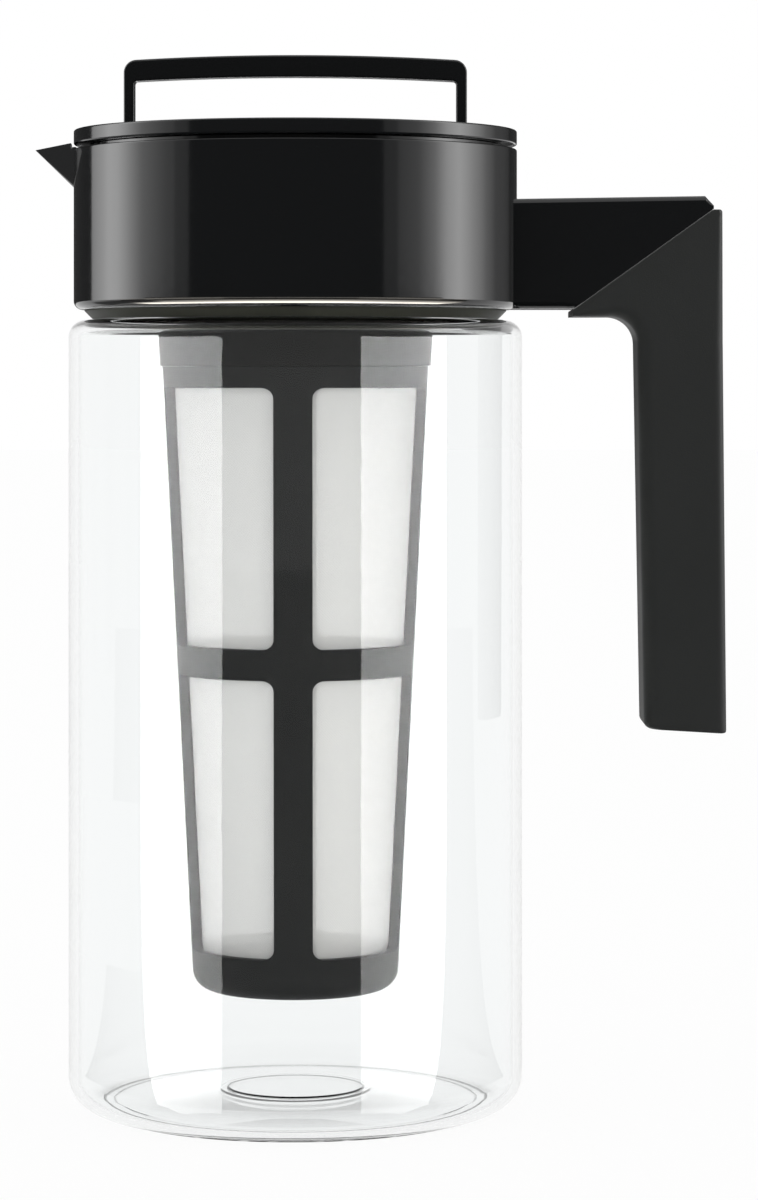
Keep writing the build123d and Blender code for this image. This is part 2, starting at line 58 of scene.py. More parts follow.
# Studio floor: white matt paper that runs into the white room behind and keeps the soft shadow
# of the jug. Seen directly or in a gloss it is nearly all white, and through the jug it is a
# little dimmer.
def linear(code):
    """Linear colour of an sRGB hex code: c / 12.92 for a dark channel, and otherwise
    ((c + 0.055) / 1.055) to the power of 2.4."""
    channels = np.array([int(code[place:place + 2], 16) for place in (1, 3, 5)]) / 255
    bright = ((channels + 0.055) / 1.055) ** 2.4
    return (*np.where(channels <= 0.04045, channels / 12.92, bright), 1.0)


def add_node(tree, kind, sockets, **settings):
    """Adds one node. A socket takes either a value or the output socket that feeds it."""
    node = tree.nodes.new(kind)
    for name, value in settings.items():
        setattr(node, name, value)
    for name, value in sockets.items():
        if isinstance(value, bpy.types.NodeSocket):
            tree.links.new(value, node.inputs[name])
        else:
            node.inputs[name].default_value = value
    return node


def seen_directly(tree):
    """1 for rays that look at the room: from the camera, off a gloss or through the jug."""
    path = add_node(tree, "ShaderNodeLightPath", {})
    glossy = add_node(
        tree,
        "ShaderNodeMath",
        {0: path.outputs["Is Camera Ray"], 1: path.outputs["Is Glossy Ray"]},
        operation="MAXIMUM",
    )
    either = add_node(
        tree,
        "ShaderNodeMath",
        {0: glossy.outputs[0], 1: path.outputs["Is Transmission Ray"]},
        operation="MAXIMUM",
    )
    return either.outputs[0]


def dimmed_through_jug(tree, plain, loss):
    """A strength: plain, less a loss for the rays that come through the clear jug."""
    path = add_node(tree, "ShaderNodeLightPath", {})
    strength = add_node(
        tree,
        "ShaderNodeMath",
        {0: path.outputs["Is Transmission Ray"], 1: -loss, 2: plain},
        operation="MULTIPLY_ADD",
    )
    return strength.outputs[0]


paper = bpy.data.materials.new("matt_white_paper")
paper.use_nodes = True
tree = paper.node_tree
tree.nodes.clear()
matt = add_node(tree, "ShaderNodeBsdfDiffuse", {"Color": (0.95, 0.95, 0.95, 1)})
bright = add_node(tree, "ShaderNodeEmission", {"Color": (1, 1, 1, 1), "Strength": 1.0})
bright_share = dimmed_through_jug(tree, 0.95, 0.13)
share = add_node(
    tree, "ShaderNodeMath", {0: seen_directly(tree), 1: bright_share}, operation="MULTIPLY"
)
blend = add_node(
    tree,
    "ShaderNodeMixShader",
    {0: share.outputs[0], 1: matt.outputs[0], 2: bright.outputs[0]},
)
add_node(tree, "ShaderNodeOutputMaterial", {"Surface": blend.outputs[0]})

floor_reach = 9.0
floor_height = -0.0002
floor_corners = [
    (x * floor_reach, y * floor_reach, floor_height)
    for x, y in ((-1, -1), (1, -1), (1, 1), (-1, 1))
]
floor_mesh = bpy.data.meshes.new("floor")
floor_mesh.from_pydata(floor_corners, [], [(0, 1, 2, 3)])
floor_mesh.materials.append(paper)
floor = bpy.data.objects.new("floor", floor_mesh)
bpy.context.scene.collection.objects.link(floor)

# Room: an even white light. Seen directly or in a gloss it is plain white, and through the jug
# it is a little dimmer.
world = bpy.data.worlds.new("white_room")
bpy.context.scene.world = world
world.use_nodes = True
tree = world.node_tree
tree.nodes.clear()
even_light = add_node(tree, "ShaderNodeBackground", {"Color": (1, 1, 1, 1), "Strength": 0.8})
white = add_node(
    tree,
    "ShaderNodeBackground",
    {"Color": (1, 1, 1, 1), "Strength": dimmed_through_jug(tree, 1.0, 0.05)},
)
blend = add_node(
    tree,
    "ShaderNodeMixShader",
    {0: seen_directly(tree), 1: even_light.outputs[0], 2: white.outputs[0]},
)
add_node(tree, "ShaderNodeOutputWorld", {"Surface": blend.outputs[0]})

# Key lamp: a large softbox high on the left, which gives the forms their light side.
key_data = bpy.data.lights.new("key_softbox", "AREA")
key_data.shape = "RECTANGLE"
key_data.size = 1.2
key_data.size_y = 1.2
key_data.energy = 2.5
key = bpy.data.objects.new("key_softbox", key_data)
key.location = (-1.3, -1.1, 1.7)
key.rotation_euler = (np.radians(50), 0, np.radians(-50))
key.visible_glossy = False
bpy.context.scene.collection.objects.link(key)


# Drape and softboxes: black cloth hangs round the set so that gloss black plastic stays black,
# with a lit strip on each side that shows as the long highlights of the collar. A dark flag
# lies under the spout, and a warm card on the floor lights the collar's lower edge.
def curved_card(name, centre, bearings, radii, heights):
    """Sheet round an upright axis, in metres: x = r sin b and y = -r cos b from the centre, at
    bearing b from the camera's side. Its radius and height run evenly from its first edge to
    its second. Its UV map is the share along it and up it."""
    columns = 49
    bearing = np.radians(np.linspace(*bearings, columns))[None, :]
    radius = np.array(radii)[:, None]
    points = np.stack([
        centre[0] + radius * np.sin(bearing),
        centre[1] - radius * np.cos(bearing),
        np.array(heights)[:, None] + 0 * bearing,
    ], axis=-1)
    first = np.arange(columns - 1)
    quads = np.stack([first, first + 1, first + columns + 1, first + columns], axis=-1)
    mesh = bpy.data.meshes.new(name)
    mesh.from_pydata(points.reshape(-1, 3), [], quads)
    share = np.stack(np.meshgrid(np.linspace(0, 1, columns), [0, 1]), axis=-1).reshape(-1, 2)
    corners = np.zeros(len(mesh.loops), int)
    mesh.loops.foreach_get("vertex_index", corners)
    mesh.uv_layers.new(name="sheet").data.foreach_set("uv", share[corners].ravel())
    card = bpy.data.objects.new(name, mesh)
    bpy.context.scene.collection.objects.link(card)
    card.visible_camera = False
    card.visible_diffuse = False
    card.visible_transmission = False
    card.visible_shadow = False
    return card


def glow(name, colour, stops, direction=0, sharp_stops=((0, 1.0), (1, 1.0))):
    """Light of a card: its colour times strengths at shares along it (0) or up it (1). A mirror
    as sharp as the clear jug sees white of other strengths there."""
    material = bpy.data.materials.new(name)
    material.use_nodes = True
    tree = material.node_tree
    tree.nodes.clear()
    place = add_node(tree, "ShaderNodeUVMap", {}, uv_map="sheet")
    shares = add_node(tree, "ShaderNodeSeparateXYZ", {0: place.outputs[0]})
    lights = []
    for tint, ramp_stops in ((colour, stops), ("#ffffff", sharp_stops)):
        ramp = add_node(tree, "ShaderNodeValToRGB", {0: shares.outputs[direction]})
        while len(ramp.color_ramp.elements) < len(ramp_stops):
            ramp.color_ramp.elements.new(0.5)
        most = max(strength for share, strength in ramp_stops)
        for element, (share, strength) in zip(ramp.color_ramp.elements, ramp_stops):
            element.position = share
            element.color = (*(np.array(linear(tint)[:3]) * strength / most), 1)
        lights.append(
            add_node(tree, "ShaderNodeEmission", {"Color": ramp.outputs[0], "Strength": most})
        )
    path = add_node(tree, "ShaderNodeLightPath", {})
    blend = add_node(
        tree,
        "ShaderNodeMixShader",
        {0: path.outputs["Is Singular Ray"], 1: lights[0].outputs[0], 2: lights[1].outputs[0]},
    )
    add_node(tree, "ShaderNodeOutputMaterial", {"Surface": blend.outputs[0]})
    return material


drape = curved_card("drape", (0, 0), (0, 360), (3.0, 3.0), (-0.6, 2.6))
drape.data.materials.append(glow("black_cloth", "#ffffff", [(0, 0.05), (1, 0.05)]))
left_strip = curved_card("left_strip", (0, 0), (-54.2, -128), (2.0, 2.0), (-0.1, 1.9))
left_strip.data.materials.append(glow("left_softbox", "#ffffff", [
    (0, 0.42), (0.112, 0.46), (0.117, 0.75), (0.173, 0.8), (0.394, 1.7), (0.562, 3.7),
    (0.645, 4.3), (0.749, 3.9), (0.833, 2.7), (0.946, 1.7), (1, 1.3)
]))
right_strip = curved_card("right_strip", (0, 0), (46.3, 146), (2.0, 2.0), (-0.1, 1.9))
right_strip.data.materials.append(glow("right_softbox", "#ffffff", [
    (0, 0.35), (0.077, 0.35), (0.082, 0.62), (0.2, 0.95), (0.3, 2.2), (0.385, 4.5),
    (0.468, 5.1), (0.59, 2.6), (0.7, 1.0), (0.8, 0.35), (1, 0.1)
]))
flag = curved_card("flag", (0, 0), (-62, -130), (0.31, 0.8), (0.001, 0.001))
flag.data.materials.append(glow("black_flag", "#ffffff", [(0, 0.22), (1, 0.22)]))
front_card = curved_card("front_card", (0, 0), (-100, 100), (0.1, 2.9), (0.0009, 0.0009))
front_card.data.materials.append(glow("warm_card", "#fff8ec", [
    (0, 28.0), (0.03, 28.0), (0.06, 10.0), (0.1, 4.0), (0.143, 1.2), (0.18, 0.05),
    (0.43, 0.05), (0.5, 2.8), (1, 2.8)
], direction=1))

# Contact shadow, painted: a dark ring on the paper under the jug's standing ring, seen only
# through the jug, stands in for the shade where no light gets in. It shows as a dark line through
# the clear base.
contact_shadow_stops = [(0, 0.2), (1, 0.2)]
contact_shadow_ring = curved_card("contact_shadow_ring", (0, 0), (0, 360), (0.0483, 0.0491), (-0.0001, -0.0001))
contact_shadow_ring.visible_transmission = True
contact_shadow_ring.data.materials.append(glow("painted_contact_shadow", "#ffffff", contact_shadow_stops, sharp_stops=contact_shadow_stops))

# Low cards: a bright reflector lies and then stands on each side of the jug, below the collar.
# The clear wall mirrors them, which veils the sides of the basket behind it.
card_fold = 0.57
lying_height = 0.0012
standing_top = 0.2085
low_cards = []
for side, first_bearing in ((-1, 35.6), (1, 33.9)):
    centre = (side * 0.0168, -0.055)
    bearings = (side * first_bearing, side * 84)
    lying = curved_card(
        "low_card", centre, bearings, (0.02, card_fold), (lying_height, lying_height)
    )
    lying.data.materials.append(glow(
        "low_card_lying",
        "#fff8ec",
        [(0, 28.0), (0.19, 28.0), (0.34, 10.0), (0.55, 4.0), (0.78, 1.2), (1, 0.05)],
        direction=1,
        sharp_stops=[(0, 15.0), (0.3, 16.6), (1, 22.0)],
    ))
    standing = curved_card(
        "low_card", centre, bearings, (card_fold, card_fold), (lying_height, standing_top)
    )
    standing.data.materials.append(glow(
        "low_card_standing",
        "#fff8ec",
        [(0, 0.05), (0.35, 0.05), (0.5, 2.8), (0.8, 2.8), (0.9, 0.05), (1, 0.05)],
        direction=1,
        sharp_stops=[(0, 20.5), (1, 26.5)],
    ))
    low_cards += [lying, standing]


# Jug. Clear copolyester, injection blown: a base that rises inside a standing ring to the disc
# of the gate, a shoulder, and a neck with a snap bead. Blowing leaves faint waves in the wall,
# about 36 mm wide.
def rounded_path(corners, closed=True, step=5.0, arc_steps=7, ease=0.3):
    """Points along straight runs joined by tangent arcs, from rows (across, up, radius) in mm.
    An arc point is the centre plus its two end spokes, each weighted by the sine of the turn
    left to the other, over the sine of the whole turn. A run has a point near each end, so
    that flat faces stay flat in shading up to their arcs."""
    corners = np.array(corners, float)
    place, radius = corners[:, :2], corners[:, 2]
    to_last = np.roll(place, 1, axis=0) - place
    to_next = np.roll(place, -1, axis=0) - place
    to_last /= np.linalg.norm(to_last, axis=1, keepdims=True)
    to_next /= np.linalg.norm(to_next, axis=1, keepdims=True)
    half = np.arccos(np.clip((to_last * to_next).sum(axis=1), -1, 1)) / 2
    reach = radius / np.tan(half)
    start = place + to_last * reach[:, None]
    end = place + to_next * reach[:, None]
    middle = to_last + to_next
    middle /= np.maximum(np.linalg.norm(middle, axis=1, keepdims=True), 1e-9)
    centre = place + middle * (radius / np.sin(half))[:, None]
    turn = np.pi - 2 * half
    share = np.linspace(0, 1, arc_steps + 1)[:, None]
    points = []
    for index in range(len(corners)):
        if radius[index] > 0:
            first_weight = np.sin((1 - share) * turn[index])
            last_weight = np.sin(share * turn[index])
            spokes = (
                first_weight * (start[index] - centre[index])
                + last_weight * (end[index] - centre[index])
            )
            points.append(centre[index] + spokes / np.sin(turn[index]))
        else:
            points.append(place[index:index + 1])
        following = (index + 1) % len(corners)
        if not closed and following == 0:
            break
        run = start[following] - end[index]
        length = np.linalg.norm(run)
        if length > 3 * ease:
            count = int(np.ceil((length - 2 * ease) / step)) + 1
            stops = np.linspace(ease, length - ease, count)[:, None] / length
            points.append(end[index] + run * stops)
    return np.concatenate(points)


def turned(profile, columns):
    """Profile (radius, height) carried round the Z axis: x = r cos a, y = r sin a."""
    angle = np.radians(columns)[None, :]
    radius, height = profile[:, 0:1], profile[:, 1:2]
    return np.stack(
        [radius * np.cos(angle), radius * np.sin(angle), height + 0 * angle], axis=-1
    )


def grid_quads(rows, columns, join_rows, join_columns):
    """Corner numbers of a grid's quads. A joined direction runs on from its last line to its
    first."""
    row = np.arange(rows if join_rows else rows - 1)[:, None]
    column = np.arange(columns if join_columns else columns - 1)[None, :]
    beside, above = (column + 1) % columns, (row + 1) % rows
    quads = [
        row * columns + column,
        row * columns + beside,
        above * columns + beside,
        above * columns + column,
    ]
    return np.stack(quads, axis=-1).reshape(-1, 4)


def put_piece(name, patches, material, body):
    """One mesh in metres of grid patches in mm, each (points, join rows, join columns). Seams
    and poles are welded, faces turned outwards, and edges over 35 degrees kept sharp."""
    points, quads, count = [], [], 0
    for grid, join_rows, join_columns in patches:
        points.append(grid.reshape(-1, 3))
        quads.append(count + grid_quads(*grid.shape[:2], join_rows, join_columns))
        count += len(points[-1])
    mesh = bpy.data.meshes.new(name)
    mesh.from_pydata(np.concatenate(points) * 0.001, [], np.concatenate(quads))
    shell = bmesh.new()
    shell.from_mesh(mesh)
    bmesh.ops.remove_doubles(shell, verts=shell.verts, dist=1e-6)
    bmesh.ops.recalc_face_normals(shell, faces=shell.faces)
    shell.to_mesh(mesh)
    shell.free()
    mesh.polygons.foreach_set("use_smooth", np.ones(len(mesh.polygons), bool))
    mesh.set_sharp_from_angle(angle=np.radians(35))
    mesh.materials.append(material)
    piece = bpy.data.objects.new(name, mesh)
    bpy.context.scene.collection.objects.link(piece)
    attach(piece, body)
    return piece


def start_finish(name):
    """A new material and its node tree, which is still empty."""
    material = bpy.data.materials.new(name)
    material.use_nodes = True
    material.node_tree.nodes.clear()
    return material, material.node_tree


clear_copolyester, tree = start_finish("clear_copolyester_blown")
place = add_node(tree, "ShaderNodeTexCoord", {})
stretch = add_node(
    tree, "ShaderNodeMapping", {0: place.outputs["Object"], "Scale": (1, 1, 0.3)}
)
flow = add_node(
    tree,
    "ShaderNodeTexNoise",
    {"Vector": stretch.outputs[0], "Scale": 28.0, "Detail": 1.0, "Roughness": 0.4},
)
wave = add_node(
    tree,
    "ShaderNodeBump",
    {"Height": flow.outputs[0], "Strength": 0.04, "Distance": 0.0004},
)
clear = add_node(
    tree,
    "ShaderNodeBsdfPrincipled",
    {
        "Base Color": linear("#fdfefe"),
        "Transmission Weight": 1.0,
        "Roughness": 0.0,
        "IOR": 1.55,
        "Specular Tint": (0.2, 0.2, 0.2, 1),
        "Normal": wave.outputs[0],
    },
)
add_node(tree, "ShaderNodeOutputMaterial", {"Surface": clear.outputs[0]})

jug_radius = 57.5
jug_wall = 2.6
jug_bore = jug_radius - jug_wall
shoulder_height = 199.6
neck_radius = 49.5
neck_bore = 47.0
neck_top = 232.0
bead_height = 223.5
bead_half_flat = 0.6
bead_reach = 0.9
ring_inside = 45.9
ring_outside = 49.1
ring_height = 0.5
ring_bevel = 0.4
crown_radius = 18.9
crown_height = 2.6
disc_radius = 17.0
disc_step = 0.35
around = 256
round_columns = np.arange(around) * 360 / around
jug_outline = rounded_path([
    (disc_radius, crown_height + disc_step, 0.1),
    (disc_radius + disc_step, crown_height, 0.1),
    (crown_radius, crown_height, 3.0),
    (ring_inside, ring_height, 0.2),
    (ring_inside + ring_bevel, 0, 0.2),
    (ring_outside - ring_bevel, 0, 0.2),
    (ring_outside, ring_height, 0.2),
    (jug_radius, ring_height, 8.1),
    (jug_radius, shoulder_height, 4.4),
    (neck_radius, shoulder_height, 0.2),
    (neck_radius, bead_height - bead_half_flat - bead_reach, 0.2),
    (neck_radius + bead_reach, bead_height - bead_half_flat, 0.4),
    (neck_radius + bead_reach, bead_height + bead_half_flat, 0.4),
    (neck_radius, bead_height + bead_half_flat + bead_reach, 0.2),
    (neck_radius, neck_top, 0.2),
    (neck_bore, neck_top, 0.2),
    (neck_bore, shoulder_height - jug_wall, 1.2),
    (jug_bore, shoulder_height - jug_wall, 1.8),
    (jug_bore, jug_wall, 6.0),
    (ring_inside, jug_wall, 0.6),
    (crown_radius, crown_height + jug_wall, 3.0),
    (disc_radius + disc_step, crown_height + jug_wall, 0.1),
    (disc_radius, crown_height + disc_step + jug_wall, 0.1),
    (0, crown_height + disc_step + jug_wall, 0),
    (0, crown_height + disc_step, 0),
], arc_steps=9)
jug = put_piece(
    "jug_clear",
    [(turned(jug_outline, round_columns), True, True)],
    clear_copolyester,
    "jug",
)
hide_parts("jug_body")

# The low cards light only the jug and, once it is made, the lip of the collar.
mirrored_in = bpy.data.collections.new("mirrored_in")
mirrored_in.objects.link(jug)
for card in low_cards:
    card.light_linking.receiver_collection = mirrored_in

# Neck seal, lid gasket and basket seal. Clear grey silicone rings, compression moulded, which
# are pressed flat between the parts that they seal. They are slightly milky, with a soft sheen
# that is uneven over about 1 mm.
clear_silicone, tree = start_finish("clear_grey_silicone_moulded")
place = add_node(tree, "ShaderNodeTexCoord", {})
skin = add_node(
    tree,
    "ShaderNodeTexNoise",
    {"Vector": place.outputs["Object"], "Scale": 900.0, "Detail": 2.0},
)
touch = add_node(
    tree, "ShaderNodeBump", {"Height": skin.outputs[0], "Strength": 0.15, "Distance": 0.0001}
)
shader = add_node(
    tree,
    "ShaderNodeBsdfPrincipled",
    {
        "Base Color": linear("#b9bcbb"),
        "Roughness": 0.42,
        "IOR": 1.41,
        "Subsurface Weight": 0.3,
        "Subsurface Scale": 0.002,
        "Normal": touch.outputs[0],
    },
)
add_node(tree, "ShaderNodeOutputMaterial", {"Surface": shader.outputs[0]})


def dress(material, *nodes):
    """Gives the material to CAD nodes that stay in view."""
    for node in nodes:
        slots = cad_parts[node].data.materials
        slots.clear()
        slots.append(material)


dress(clear_silicone, "neck_seal", "lid_gasket", "infuser_seal")


# Collar sleeve, lid plug and basket socket. Black polypropylene, injection moulded against
# spark-eroded steel, which leaves a fine satin grain of about 0.3 mm. The sleeve gets a lighter
# copy of it, whose colour is painted light for the light that its band catches from the jug below.
def grained_plastic(name, grains_per_mm, bump, drifts_per_mm, roughness, settings):
    """Moulded plastic. Fine noise raises its grain, by a bump of a strength and a distance in
    metres, and coarse noise lets its roughness drift from one value to the other."""
    material, tree = start_finish(name)
    place = add_node(tree, "ShaderNodeTexCoord", {})
    grain = add_node(
        tree,
        "ShaderNodeTexNoise",
        {
            "Vector": place.outputs["Object"],
            "Scale": 1000 * grains_per_mm,
            "Detail": 2.0,
            "Roughness": 0.6,
        },
    )
    pits = add_node(
        tree,
        "ShaderNodeBump",
        {"Height": grain.outputs[0], "Strength": bump[0], "Distance": bump[1]},
    )
    drift = add_node(
        tree,
        "ShaderNodeTexNoise",
        {"Vector": place.outputs["Object"], "Scale": 1000 * drifts_per_mm, "Detail": 3.0},
    )
    sheen = add_node(
        tree,
        "ShaderNodeMapRange",
        {
            "Value": drift.outputs[0],
            "From Min": 0.3,
            "From Max": 0.7,
            "To Min": roughness[0],
            "To Max": roughness[1],
        },
    )
    shader = add_node(
        tree,
        "ShaderNodeBsdfPrincipled",
        {"Roughness": sheen.outputs[0], "Normal": pits.outputs[0], **settings},
    )
    add_node(tree, "ShaderNodeOutputMaterial", {"Surface": shader.outputs[0]})
    return material


# The second copy, #3c3d36, is the sleeve's: its lighter colour is painted light for the light that
# its band catches from the white jug below it.
satin_pp, sleeve_pp_painted_light = (
    grained_plastic(
        name,
        grains_per_mm=3.2,
        bump=(0.2, 0.00008),
        drifts_per_mm=0.06,
        roughness=(0.36, 0.46),
        settings={"Base Color": linear(colour), "IOR": 1.49, "Specular IOR Level": 0.08},
    )
    for name, colour in (
        ("satin_black_polypropylene_moulded", "#1c1d1c"),
        ("black_polypropylene_moulded_painted_light", "#3c3d36"),
    )
)
dress(satin_pp, "lid_plug")
dress(sleeve_pp_painted_light, "collar_sleeve")

# Collar shell with the beak. Gloss black ABS, injection moulded in a polished tool: an outer
# ring snapped over the sleeve, with a pointed spout whose channel opens through the ring. Its
# sharp highlights waver over about 11 mm, and wear of about 2.4 mm dulls them a little.
gloss_abs, tree = start_finish("gloss_black_abs_polished_tool")
place = add_node(tree, "ShaderNodeTexCoord", {})
peel = add_node(
    tree,
    "ShaderNodeTexNoise",
    {"Vector": place.outputs["Object"], "Scale": 90.0, "Detail": 1.0},
)
ripple = add_node(
    tree, "ShaderNodeBump", {"Height": peel.outputs[0], "Strength": 0.05, "Distance": 0.0003}
)
wear = add_node(
    tree,
    "ShaderNodeTexNoise",
    {"Vector": place.outputs["Object"], "Scale": 420.0, "Detail": 4.0, "Roughness": 0.7},
)
polish = add_node(
    tree,
    "ShaderNodeMapRange",
    {"Value": wear.outputs[0], "From Min": 0.35, "From Max": 0.75, "To Min": 0.08, "To Max": 0.13},
)
shader = add_node(
    tree,
    "ShaderNodeBsdfPrincipled",
    {
        "Base Color": linear("#141516"),
        "Roughness": polish.outputs[0],
        "IOR": 1.53,
        "Normal": ripple.outputs[0],
    },
)
add_node(tree, "ShaderNodeOutputMaterial", {"Surface": shader.outputs[0]})

collar_radius = 56.2
collar_bore = 53.8
collar_top = 242.8
flange_bore = 52.4
flange_thickness = 1.5
lip_top = 204.6
beak_root = -53.7
beak_length = 12.4
beak_half_width = 12.6
beak_low = 228.2
beak_rim = 244.4
beak_slope = (beak_rim - beak_low) / beak_half_width
rim_fall = 1.6
beak_point = beak_rim - rim_fall
channel_root = -51.5
channel_low = 229.6
channel_point = 244.2


def keel(across, low):
    """Height of the beak's V section: low + slope * |across|, with its point rounded by a
    circle."""
    rounding = 4.0
    tilt = np.arctan(beak_slope)
    circle_top = low + rounding / np.cos(tilt)
    drop = np.sqrt(np.maximum(rounding ** 2 - across ** 2, 0))
    straight = low + beak_slope * np.abs(across)
    return np.where(np.abs(across) < rounding * np.sin(tilt), circle_top - drop, straight)


def channel_floor(across, along):
    """Height of the spout's channel. It narrows evenly from a V section at its root to a
    point, so a section is the first one scaled towards that point. Outside it there is none."""
    share = np.clip((channel_root - along) / beak_length, 0, 0.999)
    first = across / (1 - share)
    height = share * channel_point + (1 - share) * keel(first, channel_low)
    return np.where(np.abs(first) < beak_half_width, height, np.inf)


ring_outline = rounded_path([
    (collar_radius, lip_top, 0),
    (collar_radius, collar_top, 0.4),
    (flange_bore, collar_top, 0.25),
    (flange_bore, collar_top - flange_thickness, 0.1),
    (collar_bore, collar_top - flange_thickness, 0.1),
    (collar_bore, lip_top, 0),
], step=1.0)
spout_columns = 180 + np.linspace(-12.8, 12.8, 90)
rest_columns = np.linspace(193.0, 527.0, 300)
ring = turned(ring_outline, np.concatenate([spout_columns, rest_columns]))
cut = np.minimum(ring[..., 2], channel_floor(ring[..., 1], ring[..., 0]))
ring[..., 2] = np.where(ring[..., 0] < 0, cut, ring[..., 2])

# The beak's outside runs from within the ring to its point. Inside the ring its rim stays just
# below the collar's top.
beak_start = -54.4
beak_run = 11.7
ring_margin = 0.1
hidden_rim = 242.7
hair = 0.02
along = beak_start - beak_run * np.linspace(0, 0.995, 48)[:, None]
share = (beak_root - along) / beak_length
rim = beak_rim - rim_fall * share
in_ring = along > -collar_radius - ring_margin
rim = np.where(in_ring, np.minimum(rim, hidden_rim), rim)
outer = np.linspace(-1, 1, 41)[None, :] * beak_half_width
outer_y = outer * (1 - share)
outer_z = np.minimum(share * beak_point + (1 - share) * keel(outer, beak_low), rim)
channel_share = np.clip((channel_root - along) / beak_length, 0, 0.999)
first_rim = (rim - hair - channel_point * channel_share) / (1 - channel_share)
channel_width = (first_rim - channel_low) / beak_slope * (1 - channel_share)
channel_width = np.maximum(channel_width, hair * (1 - share))
inner_y = np.linspace(1, -1, 41)[None, :] * channel_width
inner_z = np.minimum(channel_floor(inner_y, along), rim)
beak = np.concatenate([
    np.stack([along + 0 * outer_y, outer_y, outer_z], axis=-1),
    np.stack([along + 0 * inner_y, inner_y, inner_z], axis=-1),
], axis=1)


def capped(grid):
    """A tube's rows of points, with each end drawn in to its middle."""
    first = np.broadcast_to(grid[:1].mean(axis=1, keepdims=True), grid[:1].shape)
    last = np.broadcast_to(grid[-1:].mean(axis=1, keepdims=True), grid[-1:].shape)
    return np.concatenate([first, grid, last])


collar = put_piece(
    "collar_gloss_shell",
    [(ring, True, True), (capped(beak), False, True)],
    gloss_abs,
    "jug",
)
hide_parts("collar_shell")

# Collar lip. The shell's lowest 2.4 mm, rounded outside by 2.2 mm. It is a piece of its own
# because it is all of the collar that the front card and the low cards light.
lip_low = 202.2
lip_outline = rounded_path([
    (collar_radius, lip_low, 2.2),
    (collar_radius, lip_top, 0),
    (collar_bore, lip_top, 0),
    (collar_bore, lip_low, 0.25),
], step=1.0, arc_steps=12)
lip = put_piece(
    "collar_lip",
    [(turned(lip_outline, round_columns), True, True)],
    gloss_abs,
    "jug",
)
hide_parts("collar_shell")
lit_below = bpy.data.collections.new("lit_below")
lit_below.objects.link(lip)
mirrored_in.objects.link(lip)
front_card.light_linking.receiver_collection = lit_below

# Handle core. Glass-filled nylon, injection moulded: the stiff bar inside the arm and the grip,
# which carries the load. Its surface is dull where bundles of fibre show, 0.7 mm wide.
glass_nylon, tree = start_finish("glass_filled_nylon_moulded")
place = add_node(tree, "ShaderNodeTexCoord", {})
fibre = add_node(
    tree, "ShaderNodeMapping", {0: place.outputs["Object"], "Scale": (1, 1, 0.15)}
)
fibres = add_node(
    tree,
    "ShaderNodeTexNoise",
    {"Vector": fibre.outputs[0], "Scale": 1500.0, "Detail": 3.0},
)
streak = add_node(
    tree,
    "ShaderNodeMapRange",
    {"Value": fibres.outputs[0], "From Min": 0.3, "From Max": 0.7, "To Min": 0.45, "To Max": 0.7},
)
shader = add_node(
    tree,
    "ShaderNodeBsdfPrincipled",
    {"Base Color": linear("#262624"), "Roughness": streak.outputs[0], "IOR": 1.54},
)
add_node(tree, "ShaderNodeOutputMaterial", {"Surface": shader.outputs[0]})
dress(glass_nylon, "handle_core")

# Handle screws and bail pins. Stainless steel, turned, which leaves fine marks about 1 mm apart
# in its soft sheen: two pan-head screws into the core, and the two pins of the bail.
stainless, tree = start_finish("stainless_steel_turned")
place = add_node(tree, "ShaderNodeTexCoord", {})
lathe = add_node(
    tree, "ShaderNodeMapping", {0: place.outputs["Object"], "Scale": (12, 1, 1)}
)
marks = add_node(
    tree, "ShaderNodeTexNoise", {"Vector": lathe.outputs[0], "Scale": 900.0, "Detail": 1.0}
)
brushed = add_node(
    tree,
    "ShaderNodeMapRange",
    {"Value": marks.outputs[0], "From Min": 0.3, "From Max": 0.7, "To Min": 0.22, "To Max": 0.38},
)
shader = add_node(
    tree,
    "ShaderNodeBsdfPrincipled",
    {"Base Color": linear("#c6c4bf"), "Metallic": 1.0, "Roughness": brushed.outputs[0]},
)
add_node(tree, "ShaderNodeOutputMaterial", {"Surface": shader.outputs[0]})
dress(stainless, "handle_screws", "bail_pins")


